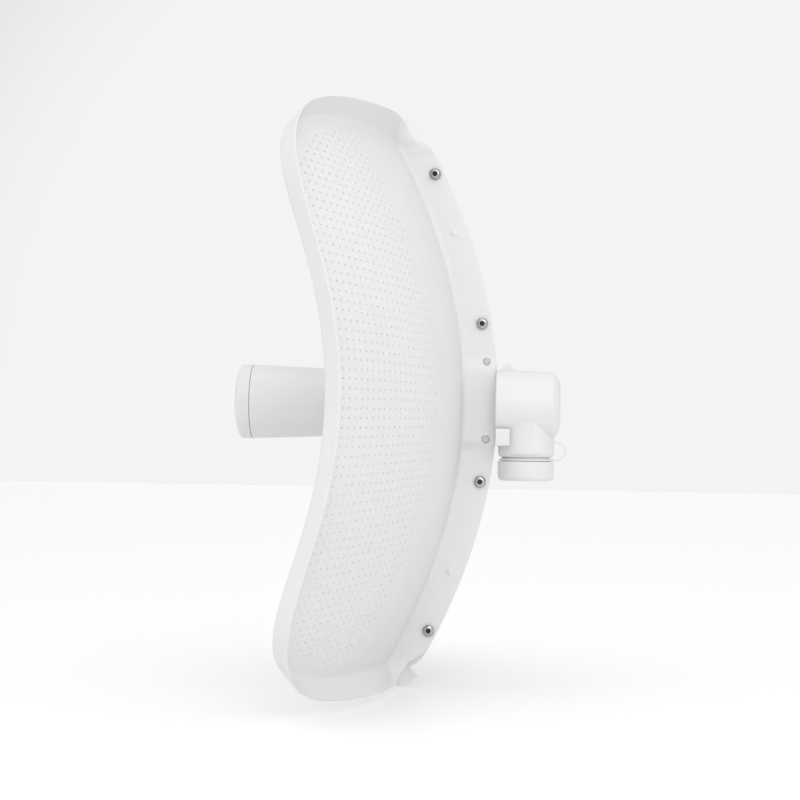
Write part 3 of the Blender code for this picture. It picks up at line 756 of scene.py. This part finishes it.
def housing_parts():
    centre = (0, 0, AXIS_Z)
    r, e = HOUSE_R, HOUSE_R_BACK
    outside = [(0, HOUSE_FRONT), (r - 0.0008, HOUSE_FRONT), (r, HOUSE_FRONT + 0.0008)]
    outside += [(e, HOUSE_BACK - 0.0062), (e - 0.0026, HOUSE_BACK - 0.0038)]
    outside += [(e - 0.0070, HOUSE_BACK - 0.0009)]
    outside += [(e - 0.0112, HOUSE_BACK), (0, HOUSE_BACK)]
    body = lathe("housing_fine", eased(outside, 0.0012), "Y", LOOKS["plastic"], 128, centre)
    stem = [(0, AXIS_Z), (ELBOW_R, AXIS_Z), (ELBOW_R, ELBOW_END + 0.0020), (ELBOW_R - 0.0016, ELBOW_END)]
    stem += [(NECK_R, ELBOW_END), (NECK_R, NECK_END + 0.0006), (NECK_R - 0.0006, NECK_END), (0, NECK_END)]
    join(body, lathe("cutter", eased(stem, 0.0008), "Z", LOOKS["plastic"], 120, (0, ELBOW_Y, 0)))
    swell = [(0, AXIS_Z + 0.0013), (ELBOW_R - 0.0004, AXIS_Z + 0.0013)]
    swell += [(ELBOW_R - 0.0004, ELBOW_END + 0.0030)]
    swell += [(ELBOW_R - 0.0030, ELBOW_END + 0.0007), (0, ELBOW_END + 0.0007)]
    wide = lathe("cutter", eased(swell, 0.0012), "Z", LOOKS["plastic"], 108, (0, ELBOW_Y, 0))
    for vert in wide.data.vertices:
        vert.co.x *= ELBOW_WIDER
    join(body, wide)
    catch = [(0.0022, -0.0015), (0.0040, 0.0010), (0.0062, 0.0036), (0.0082, 0.0050), (0.0100, 0.0050)]
    catch += [(0.0116, 0.0038), (0.0134, 0.0005), (0.0134, -0.0015)]
    catch = [(HOUSE_FRONT + u, AXIS_Z + r + v) for u, v in catch]
    join(body, prism("cutter", catch, -0.0045, 0.0045, "X", LOOKS["plastic"]))
    for side in (-1, 1):
        lug = rounded(0.0058, 0.0070, 0.0018, 8, (side * 0.0205, AXIS_Z - 0.0262))
        join(body, prism("cutter", lug, HOUSE_FRONT + 0.0006, HOUSE_FRONT + 0.0118, "Y", LOOKS["plastic"]))
    w = HOUSE_WALL
    hollow = [(0, HOUSE_FRONT + w), (r - w, HOUSE_FRONT + w), (e - w, HOUSE_BACK - 0.0070)]
    hollow += [(e - 0.0125, HOUSE_BACK - w), (0, HOUSE_BACK - w)]
    cut(body, lathe("cutter", hollow, "Y", LOOKS["plastic"], 96, centre))
    bore = [(0, AXIS_Z - 0.010), (ELBOW_R - w, AXIS_Z - 0.010), (ELBOW_R - w, ELBOW_END + 0.0035)]
    bore += [(PORT_BORE, ELBOW_END + 0.0010), (PORT_BORE, NECK_END - 0.01), (0, NECK_END - 0.01)]
    cut(body, lathe("cutter", bore, "Z", LOOKS["plastic"], 88, (0, ELBOW_Y, 0)))
    outline = rounded(TONGUE_X + 0.0003, TONGUE_Z + 0.0003, 0.0033, 4, (0, AXIS_Z))
    cut(body, prism("cutter", outline, HOUSE_FRONT - 0.01, HOUSE_FRONT + 0.006, "Y", LOOKS["plastic"]))
    low = (-0.0022, ELBOW_Y + ELBOW_R - 0.0012, EYE_Z - 0.0012)
    high = (0.0022, ELBOW_Y + ELBOW_R + 0.0022, EYE_Z + 0.0012)
    join(body, block("cutter", low, high, LOOKS["plastic"]))
    return [(body, "rear_housing", "antenna")]


def cap_parts():
    r, w = CAP_R, CAP_WALL
    cup = [(0, CAP_BOTTOM), (r - 0.0030, CAP_BOTTOM), (r - 0.0010, CAP_BOTTOM + 0.0010)]
    cup += [(r - 0.0002, CAP_BOTTOM + 0.0030)]
    cup += [(r, CAP_TOP - 0.0010), (r - 0.0006, CAP_TOP), (NECK_R + 0.0003, CAP_TOP)]
    cup += [(NECK_R + 0.0003, CAP_BOTTOM + 0.0022 + w), (0, CAP_BOTTOM + 0.0022 + w)]
    cap = lathe("port_cap_fine", eased(cup, 0.0007), "Z", LOOKS["cap"], 128, (0, ELBOW_Y, 0))
    return [(cap, "port_cap", "port_cap")]


def smooth(points, steps):
    """A Catmull-Rom line through the points."""
    line = []
    for k in range(len(points) - 1):
        p0, p1 = points[max(k - 1, 0)], points[k]
        p2, p3 = points[k + 1], points[min(k + 2, len(points) - 1)]
        for t in np.linspace(0, 1, steps + 1)[:-1]:
            spot = []
            for a, b, c, d in zip(p0, p1, p2, p3):
                bend = (2 * a - 5 * b + 4 * c - d) * t * t + (3 * b - a - 3 * c + d) * t ** 3
                spot.append(0.5 * (2 * b + (c - a) * t + bend))
            line.append(spot)
    line.append(points[-1])
    return np.array(line)


def tether_parts():
    """A ring between the elbow and the cap, and a strap that loops out behind it up to the elbow's eye."""
    y = ELBOW_Y
    low, high = CAP_TOP + 0.0004, CAP_TOP + 0.0019
    outer = ELBOW_R - 0.0010
    section = [(NECK_R + 0.0003, low), (outer, low), (outer, high), (NECK_R + 0.0003, high)]
    band = lathe("tether_ring_fine", eased(section, 0.0004), "Z", LOOKS["plastic"], 112, (0, y, 0))
    inner_end, outer_end = (-0.0014, y + outer - 0.0008, low), (0.0014, y + outer + 0.0028, high)
    tab = block("cutter", inner_end, outer_end, LOOKS["plastic"])
    join(band, tab)
    start = y + outer + 0.0031
    path = [(start, low + 0.00075), (start + 0.0035, low + 0.0016), (start + 0.0066, low + 0.0050)]
    path += [(start + 0.0072, low + 0.0080), (start + 0.0050, low + 0.0122), (start + 0.0006, EYE_Z)]
    line = smooth(path, 12)
    run = np.gradient(line, axis=0)
    run /= np.linalg.norm(run, axis=1)[:, None]
    side = np.stack([-run[:, 1], run[:, 0]], axis=1) * 0.0009
    outline = [tuple(p) for p in line + side] + [tuple(p) for p in (line - side)[::-1]]
    strap = prism("tether_strap_fine", outline, -0.0011, 0.0011, "X", LOOKS["plastic"])
    return [(band, "tether_ring", "tether"), (strap, "tether_strap", "")]


for obj, node, body in screw_parts() + feed_parts() + housing_parts() + cap_parts() + tether_parts():
    for vert in obj.data.vertices:
        vert.co -= HOLD
    obj.data.shade_smooth()
    obj.data.set_sharp_from_angle(angle=math.radians(35))
    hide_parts(node)
    if body:
        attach(obj, body)
    else:
        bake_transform(obj)


# ---------------------------------------------------------------- stage
CAMERA_TURN = 0.0713     # radians behind square to the side
CAMERA_PITCH = -0.0146   # radians, looking up a little
CAMERA_ROLL = 0.0153     # radians
CAMERA_AWAY = 1.7016
CAMERA_LENS = 94.3       # millimetres, on the sensor below
SENSOR = 36.0
FLOOR_GAP = 0.0006       # under the lowest point of the object
FLOOR_REACH = 6
FLOOR_WHITE = (0.88, 0.88, 0.88, 1)
FLOOR_ROUGH = 0.42
FLOOR_GLOW = 0.06
SOFT_LOW, SOFT_HIGH = 0.72, 1.16     # world strength, away from the light side and towards it
BACKDROP = 0.18          # extra world strength behind the object
TOP_LAMP, SIDE_LAMP = 4, 8           # watts
WHITE = (1, 1, 1, 1)
AIM = Vector((0.0, -0.0510, 0.0013)) - HOLD

low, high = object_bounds()
floor_z = low[2] - FLOOR_GAP


def flat_sheet(name, corners, look):
    mesh = bpy.data.meshes.new(name)
    mesh.from_pydata(corners, [], [tuple(range(len(corners)))])
    obj = bpy.data.objects.new(name, mesh)
    scene.collection.objects.link(obj)
    obj.data.materials.append(look)
    return obj


floor_look, tree, shader = node_material("floor_white")
shader.inputs["Base Color"].default_value = FLOOR_WHITE
shader.inputs["Roughness"].default_value = FLOOR_ROUGH
shader.inputs["Emission Color"].default_value = WHITE
shader.inputs["Emission Strength"].default_value = FLOOR_GLOW
corners = [(u * FLOOR_REACH, v * FLOOR_REACH, floor_z) for u, v in ((-1, -1), (1, -1), (1, 1), (-1, 1))]
floor = flat_sheet("floor", corners, floor_look)

turn, pitch, roll = CAMERA_TURN, CAMERA_PITCH, CAMERA_ROLL
ahead = Vector((-math.cos(turn) * math.cos(pitch), -math.sin(turn) * math.cos(pitch), -math.sin(pitch)))
level = Vector((-math.sin(turn), math.cos(turn), 0))
upward = level.cross(ahead)
across = level * math.cos(roll) + upward * math.sin(roll)
upright = upward * math.cos(roll) - level * math.sin(roll)
data = bpy.data.cameras.new("camera")
camera = bpy.data.objects.new("camera", data)
scene.collection.objects.link(camera)
stand = Matrix((across, upright, -ahead)).transposed().to_4x4()
stand.translation = AIM - ahead * CAMERA_AWAY
camera.matrix_world = stand
data.sensor_width = SENSOR
data.lens = CAMERA_LENS
data.clip_start = 0.05
data.clip_end = 60
scene.camera = camera

world = bpy.data.worlds.new("studio")
scene.world = world
world.use_nodes = True
sky = world.node_tree
where = sky.nodes.new("ShaderNodeTexCoord")


def toward(direction, low, high, start, end):
    """Low away from the direction and high towards it."""
    dot = sky.nodes.new("ShaderNodeVectorMath")
    dot.operation = "DOT_PRODUCT"
    dot.inputs[1].default_value = Vector(direction).normalized()
    sky.links.new(where.outputs["Generated"], dot.inputs[0])
    rise = sky.nodes.new("ShaderNodeMapRange")
    rise.interpolation_type = "SMOOTHSTEP"
    rise.inputs["From Min"].default_value = low
    rise.inputs["From Max"].default_value = high
    rise.inputs["To Min"].default_value = start
    rise.inputs["To Max"].default_value = end
    sky.links.new(dot.outputs["Value"], rise.inputs["Value"])
    return rise.outputs["Result"]


soft = toward((0.7, -0.1, 0.75), -0.6, 1.0, SOFT_LOW, SOFT_HIGH)
backdrop = toward((-1.0, 0.0, 0.0), 0.93, 0.97, 0.0, BACKDROP)
both = sky.nodes.new("ShaderNodeMath")
both.operation = "ADD"
sky.links.new(soft, both.inputs[0])
sky.links.new(backdrop, both.inputs[1])
sky.links.new(both.outputs["Value"], sky.nodes["Background"].inputs["Strength"])
sky.nodes["Background"].inputs["Color"].default_value = WHITE
scene.view_settings.view_transform = "Standard"


def lamp(name, place, aim, size, power):
    data = bpy.data.lights.new(name, "AREA")
    data.shape = "SQUARE"
    data.size = size
    data.energy = power
    obj = bpy.data.objects.new(name, data)
    obj.location = place
    obj.rotation_euler = (Vector(aim) - Vector(place)).to_track_quat("-Z", "Y").to_euler()
    scene.collection.objects.link(obj)
    return obj


lamp("top", (0.5, -0.3, 2.0), (0, 0, 0), 1.2, TOP_LAMP)
lamp("side", (2.0, 0.4, 0.8), (0, 0, 0), 1.0, SIDE_LAMP)
